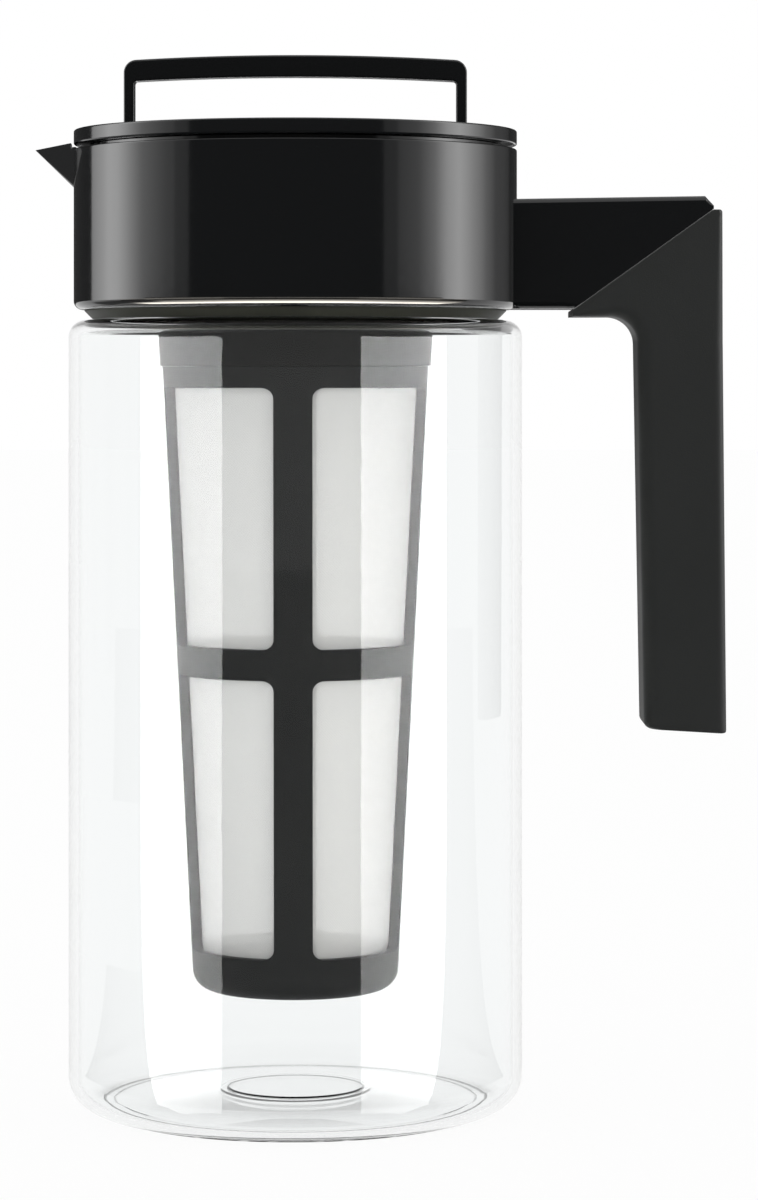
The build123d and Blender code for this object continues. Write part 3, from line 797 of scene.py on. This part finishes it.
# Handle arm. Gloss black ABS cover over the level part of the core, cut off along a slanting
# seam where the soft grip begins. Its edges are rounded by 1.6 mm.
def ruled_bar(low, high, half_depth, low_round, high_round, inset=0.0):
    """Bar between two edge curves in the X-Z plane, one section per pair of points. A section
    is a rounded rectangle: a corner point is its arc's centre plus the corner radius times
    (cosine, sine), and each straight side has three more points. All the sizes may change
    along the bar, and inset draws a section in."""
    low, high = np.array(low, float), np.array(high, float)
    width = np.linalg.norm(high - low, axis=1)[:, None]
    toward = (high - low) / np.maximum(width, 1e-9)
    inset = np.zeros_like(width) + np.reshape(inset, (-1, 1))
    depth = np.zeros_like(width) + np.reshape(half_depth, (-1, 1)) - inset
    room = np.minimum(width / 2 - inset, depth) * 0.98
    near = np.clip(np.reshape(low_round, (-1, 1)) - inset, 0.02, room)
    far = np.clip(np.reshape(high_round, (-1, 1)) - inset, 0.02, room)
    arc = np.radians(np.linspace(0, 90, 8))[None, :]
    start, stop = inset, width - inset
    arcs = np.array([
        (stop - far + far * np.sin(arc), -depth + far - far * np.cos(arc)),
        (stop - far + far * np.cos(arc), depth - far + far * np.sin(arc)),
        (start + near - near * np.sin(arc), depth - near + near * np.cos(arc)),
        (start + near - near * np.cos(arc), -depth + near - near * np.sin(arc)),
    ])
    stops = np.array([0.03, 0.5, 0.97])
    sides = arcs[..., -1:] * (1 - stops) + np.roll(arcs, -1, axis=0)[..., :1] * stops
    outline = np.concatenate([arcs, sides], axis=-1)
    across, deep = np.moveaxis(outline, 0, 2).reshape(2, len(low), -1)
    plane = low[:, None, :] + toward[:, None, :] * across[..., None]
    return np.stack([plane[..., 0], deep, plane[..., 1]], axis=-1)


def eased(start, stop, count, ease=0.3):
    """Even stations from start to stop, with one more close to each end."""
    edge = ease * np.sign(stop - start)
    return np.concatenate([[start], np.linspace(start + edge, stop - edge, count), [stop]])


handle_half_depth = 12.0
arm_root = 54.8
arm_low = 202.4
arm_nose = 103.2
arm_end = 105.3
top_start = 56.3
top_height = 230.0
top_slope = 0.7 / (arm_nose - top_start)
nose_slope = 2.4 / (arm_end - arm_nose)
seam_start = 70.37
seam_slope = 25.5 / 35.6
arm_along = np.concatenate([
    eased(arm_root, seam_start, 8)[:-1],
    eased(seam_start, arm_nose, 16)[:-1],
    eased(arm_nose, arm_end, 5),
])
underside = arm_low + np.maximum(arm_along - seam_start, 0) * seam_slope
topside = top_height + (np.minimum(arm_along, arm_nose) - top_start) * top_slope
topside = topside - np.maximum(arm_along - arm_nose, 0) * nose_slope
arm = ruled_bar(
    np.stack([arm_along, underside], axis=-1),
    np.stack([arm_along, topside], axis=-1),
    handle_half_depth,
    low_round=np.interp(arm_along, [69.6, 71.2], [1.6, 0.35]),
    high_round=1.6,
)
arm_cover = put_piece(
    "handle_arm_cover", [(capped(arm), False, True)], gloss_abs, "jug"
)
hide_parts("handle_arm")

# Handle grip. Soft thermoplastic rubber moulded over the upright part of the core: matt, with
# a fine grain of about 0.4 mm, a wide rounding on the palm side and a narrower one outside.
soft_touch = grained_plastic(
    "soft_touch_black_rubber_overmoulded",
    grains_per_mm=2.6,
    bump=(0.3, 0.0001),
    drifts_per_mm=0.035,
    roughness=(0.52, 0.62),
    settings={
        "Base Color": linear("#2c2e2d"),
        "IOR": 1.47,
        "Sheen Weight": 0.02,
        "Sheen Roughness": 0.4,
    },
)

wedge_start = 69.8
wedge_low = 200.4
bend_x = 79.4
bend_z = 193.6
bend_radius = 6.8
foot_x = 89.87
foot_z = 98.6
foot_radius = 2.0
heel_z = 95.5
back_x = 107.7
back_foot_x = 108.58
back_corner = (106.8, 226.5)
back_corner_radius = 0.8
palm_lean = 1.7 / 97.0
back_lean = 0.9 / 97.0
foot_slant = 2.1 / 95.0


def along_seam(x):
    """Height of the grip's edge under the slanting seam, at a distance x from the axis."""
    return 201.8 + (x - 69.7) * seam_slope


wedge = eased(wedge_start, bend_x, 8)
bend = np.radians(np.linspace(90, 0, 19))[1:]
down = eased(bend_z, foot_z, 24)[1:]
fallen = bend_z - down
foot = np.radians(np.linspace(0, 90, 9))[1:]
palm_side = np.concatenate([
    np.stack([wedge, wedge_low + 0 * wedge], axis=-1),
    np.stack([bend_x + bend_radius * np.cos(bend), bend_z + bend_radius * np.sin(bend)], axis=-1),
    np.stack([bend_x + bend_radius + fallen * palm_lean, down], axis=-1),
    np.stack([foot_x - foot_radius * np.cos(foot), foot_z - foot_radius * np.sin(foot)], axis=-1),
])
corner = np.radians(np.linspace(90, 0, 7))
seam_x = np.array([86.0, 92.0, 98.0, 102.0, 105.0, 105.3, 105.6, 106.5])
seam_top = back_corner[1] + back_corner_radius
back_side = np.concatenate([
    np.stack([wedge, along_seam(wedge)], axis=-1),
    np.stack([seam_x, np.minimum(along_seam(seam_x), seam_top)], axis=-1),
    back_corner + back_corner_radius * np.stack([np.cos(corner), np.sin(corner)], axis=-1),
    np.stack([107.62 + 0.1 * np.arange(3) / 3, [224.0, 210.0, bend_z]], axis=-1),
    np.stack([back_x + fallen * back_lean, down - fallen * foot_slant], axis=-1),
    np.stack([back_foot_x + 0 * foot, np.linspace(96.45, heel_z, 9)[1:]], axis=-1),
])
stations = len(palm_side)
number = np.arange(stations)
bend_first = len(wedge)
down_first = len(wedge) + len(bend)
back_round = np.interp(number, [bend_first + 8, bend_first + 14], [0.35, 2.2])
palm_round = np.interp(number, [0, 3, bend_first, down_first], [0.4, 1.2, 3.0, 3.5])
foot_inset = np.interp(stations - 1 - number, [0, 1, 2, 4, 8], [0.9, 0.45, 0.2, 0.05, 0.0])
grip = ruled_bar(palm_side, back_side, handle_half_depth, palm_round, back_round, foot_inset)
grip_cover = put_piece(
    "handle_soft_grip", [(capped(grip), False, True)], soft_touch, "jug"
)
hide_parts("handle_grip")

# The handle stays out of the other pieces' reflections, so that the highlights beside it are
# whole.
handle_nodes = [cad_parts[node] for node in ("handle_core", "handle_screws")]
for piece in (arm_cover, grip_cover, *handle_nodes):
    piece.visible_glossy = False

# Lid cap. Gloss black ABS: a rim that rests over the collar, a recess with a floor for the
# folded bail, and two ears that hold the bail's pins.
lid_low = 239.4
recess_floor = 241.4
recess_radius = 50.0
skirt_radius = 52.0
rim_low = 243.9
rim_top = 247.6
lid_outline = rounded_path([
    (0, lid_low, 0),
    (skirt_radius, lid_low, 0.4),
    (skirt_radius, rim_low, 0.2),
    (collar_radius, rim_low, 0.5),
    (collar_radius, rim_top, 0.5),
    (recess_radius, rim_top, 0.5),
    (recess_radius, recess_floor, 0.6),
    (0, recess_floor, 0),
], step=4.0)
ear_inside = 43.8
ear_outside = 50.4
ear_low = 241.0
ear_top = 247.4
ear_half_depth = 4.5
ear_x = eased(ear_inside, ear_outside, 6)
ear_inset = np.interp(ear_x - ear_inside, [0, 0.15, 0.3, 0.6], [0.6, 0.3, 0.12, 0.0])
ears = []
for side in (-1, 1):
    ear = ruled_bar(
        np.stack([side * ear_x, ear_low + 0 * ear_x], axis=-1),
        np.stack([side * ear_x, ear_top + 0 * ear_x], axis=-1),
        ear_half_depth,
        low_round=0.1,
        high_round=0.7,
        inset=ear_inset,
    )
    ears.append((capped(ear), False, True))
lid = put_piece(
    "lid_gloss_cap",
    [(turned(lid_outline, round_columns), False, True)] + ears,
    gloss_abs,
    "lid",
)
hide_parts("lid_cap")

# Bail. A flat gloss black bow, thicker along its bar and slightly crowned, which turns on two
# steel pins in the ears. Its pivot ends are round.
leg_inside = 40.8
leg_outside = 43.5
pin_height = 244.7
eye_radius = 3.0
bar_low = 260.2
bar_top = 265.4
bar_arch = 1.1
bar_crown = 1.4
inner_round = 0.8
outer_round = 3.0


def crown(x):
    """Rise of the bar's top: all of it in the middle, less its share by the square of x."""
    return bar_crown * (1 - (x / leg_outside) ** 2)


pivot = np.radians(np.linspace(4, 90, 10))
quarter = np.radians(np.linspace(0, 90, 12))
leg = eased(0, 1, 8, ease=0.03)[1:-1]
bar = np.linspace(0, 1, 24)[1:]
pivot_z = pin_height - eye_radius * np.cos(pivot)
inner_corner = (inner_round - leg_inside, bar_low - inner_round)
outer_corner = (outer_round - leg_outside, bar_top - outer_round)
outer_arc = outer_corner[0] - outer_round * np.cos(quarter)
inner_x = np.concatenate([
    -leg_inside + 0 * pivot,
    -leg_inside + 0 * leg,
    inner_corner[0] - inner_round * np.cos(quarter),
    inner_corner[0] * (1 - bar),
])
inner_z = np.concatenate([
    pivot_z,
    pin_height + (inner_corner[1] - pin_height) * leg,
    inner_corner[1] + inner_round * np.sin(quarter),
    bar_low + bar_arch * (1 - (1 - bar) ** 2),
])
outer_x = np.concatenate([
    -leg_outside + 0 * pivot,
    -leg_outside + 0 * leg,
    outer_arc,
    outer_corner[0] * (1 - bar),
])
outer_z = np.concatenate([
    pivot_z,
    pin_height + (outer_corner[1] - pin_height) * leg,
    outer_corner[1] + (outer_round + crown(outer_arc)) * np.sin(quarter),
    bar_top + crown(outer_corner[0] * (1 - bar)),
])
mirror = np.array([-1, 1])
inner_edge = np.stack([inner_x, inner_z], axis=-1)
outer_edge = np.stack([outer_x, outer_z], axis=-1)
inner_edge = np.concatenate([inner_edge, inner_edge[-2::-1] * mirror])
outer_edge = np.concatenate([outer_edge, outer_edge[-2::-1] * mirror])
leg_depth = eye_radius * np.concatenate([np.sin(pivot), np.ones(len(inner_x) - len(pivot))])
leg_depth = np.concatenate([leg_depth, leg_depth[-2::-1]])
bow = ruled_bar(inner_edge, outer_edge, leg_depth, low_round=0.45, high_round=0.6)
bail = put_piece(
    "bail_bow", [(capped(bow), False, True)], gloss_abs, "bail"
)
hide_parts("bail_handle")


# Basket socket. The satin black tube under the lid, flanged at its top, with a ledge for the
# seal and four bayonet lugs inside its mouth.
def lugged(wall, columns, radius, heights, reach, first, arc):
    """A turned wall with four lugs. Where its radius and height are a lug's, and its angle is
    within half the arc of a lug's middle, a point moves out by the reach, or in if negative."""
    turn_off = np.abs((columns - first + 45) % 90 - 45)
    low, high = heights
    at_radius = np.abs(np.hypot(wall[..., 0], wall[..., 1]) - radius) < 0.06
    at_height = (wall[..., 2] > low - 0.01) & (wall[..., 2] < high + 0.01)
    in_lug = at_radius & at_height & (turn_off < arc / 2)[None, :]
    moved = wall.copy()
    moved[..., :2] *= np.where(in_lug, 1 + reach / radius, 1.0)[..., None]
    return moved


socket_bore = 32.3
socket_low = 188.0
ledge_bore = 28.2
ledge_low = 205.6
ledge_top = 207.6
socket_lugs = (190.0, 192.2)
socket_outline = rounded_path([
    (34.4, socket_low, 0.15),
    (36.97, lid_low, 0),
    (34.87, lid_low, 0),
    (socket_bore, ledge_top, 0.3),
    (ledge_bore, ledge_top, 0.2),
    (ledge_bore, ledge_low, 0.2),
    (socket_bore, ledge_low, 0.2),
    (socket_bore, socket_lugs[1], 0),
    (socket_bore, socket_lugs[0], 0),
    (socket_bore, socket_low, 0.35),
])
lug_ends = np.array([[25, 65]]) + 90 * np.arange(4)[:, None]
socket_columns = np.sort(np.concatenate([
    np.arange(144) * 2.5, (lug_ends - 0.01).ravel(), (lug_ends + 0.01).ravel()
]))
socket = turned(socket_outline, socket_columns)
socket = lugged(
    socket, socket_columns, socket_bore, socket_lugs, reach=-1.7, first=45, arc=40
)
flange_low = 237.4
flange_inside = 34.9
flange_outside = 42.7
flange_outline = rounded_path([
    (flange_inside, flange_low, 0.2),
    (flange_outside, flange_low, 0.3),
    (flange_outside, lid_low, 0.2),
    (flange_inside, lid_low, 0.2),
])
socket_piece = put_piece(
    "basket_socket_tube",
    [(socket, True, True), (turned(flange_outline, round_columns), True, True)],
    satin_pp,
    "lid",
)
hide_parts("infuser_socket")

# Basket frame. Black nylon, injection moulded in one piece, with a dry satin grain: neck with
# four lugs, shoulder, four ribs and three bands round eight windows, and a closed cup foot.
black_nylon = grained_plastic(
    "black_nylon_frame_moulded",
    grains_per_mm=2.8,
    bump=(0.2, 0.00008),
    drifts_per_mm=0.045,
    roughness=(0.42, 0.52),
    settings={"Base Color": linear("#262727"), "IOR": 1.53, "Specular IOR Level": 0.06},
)

basket_wall = 2.7
rib_half_width = 5.0
window_round = 2.6
window_edge_round = 0.4
facings = np.array([45, 135, 225, 315])


def taper(height):
    """Outside radius of the basket: 33.7 mm at its shoulder, 0.05 mm less for each mm down."""
    return 33.7 - 0.05 * (187.6 - height)


def window_side(half_length, rounding):
    """Along a window's side, from corner middle to corner middle, and how far each point is
    drawn in: a corner point lies (1 - cosine) of the radius inside the edge."""
    half_arc = np.radians(np.linspace(0, 45, 7))
    straight = np.linspace(-1, 1, 15)[1:-1]
    flat = half_length - rounding
    along = np.concatenate([
        -flat - rounding * np.sin(half_arc[::-1]),
        flat * straight,
        flat + rounding * np.sin(half_arc),
    ])
    drawn = rounding * (1 - np.cos(half_arc))
    return along, np.concatenate([drawn[::-1], 0 * straight, drawn])


def end_to_end(sides):
    """One closed loop of its sides, each of which leaves its last point to the next one."""
    return np.concatenate([side[:-1] for side in sides])


rim_share = window_side(12.0, window_round)[0]
rim_share = rim_share / np.abs(rim_share).max()


def window_cell(facing, window_low, window_high, cell_low, cell_high):
    """One quarter of the basket's wall round one window. A point runs from the window's edge
    to the cell's edge, and from the inner wall over the edge to the outer wall: its angle and
    height are weighted between both edges, and its radius is the taper less its depth."""
    middle = (window_low + window_high) / 2
    ends = np.array([window_low, window_high])
    rib = np.arcsin(rib_half_width / taper(ends))
    wide = taper(ends) * np.sin(np.pi / 4 - rib)
    across_low, drawn_low = window_side(wide[0], window_round)
    across_high, drawn_high = window_side(wide[1], window_round)
    up, drawn_up = window_side((window_high - window_low) / 2, window_round)
    hole_y = end_to_end([
        across_low,
        np.interp(middle + up, ends, wide) - drawn_up,
        across_high[::-1],
        drawn_up - np.interp(middle - up, ends, wide),
    ])
    hole_z = end_to_end([
        window_low + drawn_low, middle + up, window_high - drawn_high, middle - up
    ])
    half_cell = np.pi / 4
    one = np.ones(len(rim_share))
    rim_up = (cell_low + cell_high) / 2 + rim_share * (cell_high - cell_low) / 2
    rim_angle = half_cell * end_to_end([rim_share, one, -rim_share, -one])
    rim_z = end_to_end([cell_low * one, rim_up, cell_high * one, rim_up[::-1]])
    arc = np.radians(np.linspace(0, 90, 6))
    plain = np.array([1.0, 0.7, 0.4, 0.15])
    outward = window_edge_round * (1 - np.sin(arc))
    inward = window_edge_round * (1 - np.cos(arc))
    share = np.concatenate([plain, 0 * arc, [0, 0], 0 * arc, plain[::-1]])[:, None]
    offset = np.concatenate([
        window_edge_round + 0 * plain,
        outward,
        [0, 0],
        outward[::-1],
        window_edge_round + 0 * plain,
    ])[:, None]
    depth = np.concatenate([
        0 * plain, inward, [0.8, 1.9], basket_wall - inward[::-1], basket_wall + 0 * plain
    ])[:, None]
    edge_radius = taper(hole_z)
    edge_angle = np.arcsin(hole_y / edge_radius)
    gap = np.hypot((rim_angle - edge_angle) * edge_radius, rim_z - hole_z)[None, :]
    weight = offset / gap * (1 - share) + share
    z = hole_z[None, :] * (1 - weight) + rim_z[None, :] * weight
    radius = taper(z) - depth
    hole_angle = np.arcsin(np.clip(hole_y[None, :] / radius, -1, 1))
    angle = hole_angle * (1 - weight) + rim_angle[None, :] * weight + np.radians(facing)
    return np.stack([radius * np.cos(angle), radius * np.sin(angle), z], axis=-1)


cup_low = 30.3
cup_top = 39.4
cup_seat = 38.8
cup_bore = 22.96
cup_floor = 32.5
band_middle = 113.95
shoulder_low = 184.0
shoulder_inside = 184.5
neck_low = 187.9
basket_neck = 30.2
basket_neck_bore = 28.2
basket_top = 203.0
basket_lugs = (192.6, 194.8)
cells = [
    (window_cell(facing, *window), False, True)
    for facing in facings
    for window in ((40.8, 110.1, cup_top, band_middle), (117.8, 182.5, band_middle, shoulder_low))
]
basket_columns = (facings[:, None] + 45 * rim_share[None, :-1]).ravel()
cup_outline = rounded_path(
    [(0, cup_low, 0), (taper(cup_low), cup_low, 5.2), (taper(cup_top), cup_top, 0)], closed=False
)
cup_inside = rounded_path([
    (taper(cup_top) - basket_wall, cup_top, 0),
    (taper(cup_seat) - basket_wall, cup_seat, 0),
    (cup_bore, cup_seat, 0),
    (cup_bore, cup_floor, 2.8),
    (0, cup_floor, 0),
], closed=False)
neck_outline = rounded_path([
    (taper(shoulder_low), shoulder_low, 0),
    (33.7, neck_low, 0.15),
    (basket_neck, neck_low, 0.1),
    (basket_neck, basket_lugs[0], 0),
    (basket_neck, basket_lugs[1], 0),
    (basket_neck, basket_top, 0.3),
    (basket_neck_bore, basket_top, 0.3),
    (basket_neck_bore, shoulder_inside, 0.1),
    (taper(shoulder_inside) - basket_wall, shoulder_inside, 0.1),
    (taper(shoulder_low) - basket_wall, shoulder_low, 0),
], closed=False)
neck = turned(neck_outline, basket_columns)
neck = lugged(neck, basket_columns, basket_neck, basket_lugs, reach=1.7, first=0, arc=38)
basket = put_piece(
    "basket_frame",
    cells + [
        (turned(cup_outline, basket_columns), False, True),
        (turned(cup_inside, basket_columns), False, True),
        (neck, False, True),
    ],
    black_nylon,
    "infuser",
)
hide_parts("infuser_frame")

# Basket cloth. White monofilament nylon, plain woven, rolled into a tapered sleeve and moulded
# into the frame. The weave is open, so a little of what is behind it shows. Its real pitch of
# 0.2 mm is too fine to show, and it is drawn at 0.7 mm.
thread_pitch = 0.7
white_nylon, tree = start_finish("white_nylon_monofilament_woven")
place = add_node(tree, "ShaderNodeUVMap", {}, uv_map="cloth")
turns = add_node(tree, "ShaderNodeSeparateXYZ", {0: place.outputs[0]})
threads = []
for axis in (0, 1):
    turn = add_node(
        tree,
        "ShaderNodeMath",
        {0: turns.outputs[axis], 1: 2 * np.pi / thread_pitch},
        operation="MULTIPLY",
    )
    threads.append(add_node(tree, "ShaderNodeMath", {0: turn.outputs[0]}, operation="SINE"))
over = add_node(
    tree,
    "ShaderNodeMath",
    {0: threads[0].outputs[0], 1: threads[1].outputs[0]},
    operation="MULTIPLY",
)
weave = add_node(
    tree, "ShaderNodeBump", {"Height": over.outputs[0], "Strength": 0.25, "Distance": 0.0001}
)
shade = add_node(
    tree,
    "ShaderNodeMapRange",
    {"Value": over.outputs[0], "From Min": -1.0, "From Max": 1.0, "To Min": 0.0, "To Max": 1.0},
)
tone = add_node(
    tree,
    "ShaderNodeMix",
    {0: shade.outputs[0], 6: linear("#f0f0ef"), 7: linear("#f8f8f7")},
    data_type="RGBA",
)
shader = add_node(
    tree,
    "ShaderNodeBsdfPrincipled",
    {
        "Base Color": tone.outputs[2],
        "Roughness": 0.6,
        "IOR": 1.53,
        "Specular IOR Level": 0.2,
        "Alpha": 0.42,
        "Normal": weave.outputs[0],
    },
)
add_node(tree, "ShaderNodeOutputMaterial", {"Surface": shader.outputs[0]})

cloth_thickness = 0.5
cloth_clearance = 0.1
cloth_mean_radius = 27.0
low_radius = taper(cup_seat) - basket_wall - cloth_clearance
top_radius = taper(shoulder_inside) - basket_wall - cloth_clearance
cloth_outline = rounded_path([
    (low_radius, cup_seat, 0.1),
    (top_radius, shoulder_inside, 0.1),
    (top_radius - cloth_thickness, shoulder_inside, 0.1),
    (low_radius - cloth_thickness, cup_seat, 0.1),
], step=8.0)
cloth = put_piece(
    "basket_cloth",
    [(turned(cloth_outline, round_columns), True, True)],
    white_nylon,
    "infuser",
)
corners = np.zeros(len(cloth.data.loops), int)
cloth.data.loops.foreach_get("vertex_index", corners)
places = np.zeros(len(cloth.data.vertices) * 3)
cloth.data.vertices.foreach_get("co", places)
places = places.reshape(-1, 3) * 1000
threads_along = np.arctan2(places[:, 1], places[:, 0]) * cloth_mean_radius
threads_round = np.stack([threads_along, places[:, 2]], axis=-1)
cloth.data.uv_layers.new(name="cloth").data.foreach_set("uv", threads_round[corners].ravel())
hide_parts("infuser_mesh")

# Basket fill: a softbox before the jug that lights only the cloth, as if the clear wall weren't
# there. The frame, the collar and the socket still shade the cloth from it.
fill_data = bpy.data.lights.new("basket_fill", "AREA")
fill_data.size = 0.6
fill_data.energy = 3.3
fill = bpy.data.objects.new("basket_fill", fill_data)
fill.location = (0, -1.2, 0.3)
fill.rotation_euler = (np.radians(81), 0, 0)
fill.visible_glossy = False
bpy.context.scene.collection.objects.link(fill)
lit_cloth = bpy.data.collections.new("lit_cloth")
lit_cloth.objects.link(cloth)
fill.light_linking.receiver_collection = lit_cloth
shading_cloth = bpy.data.collections.new("shading_cloth")
for piece in (basket, collar, socket_piece):
    shading_cloth.objects.link(piece)
fill.light_linking.blocker_collection = shading_cloth
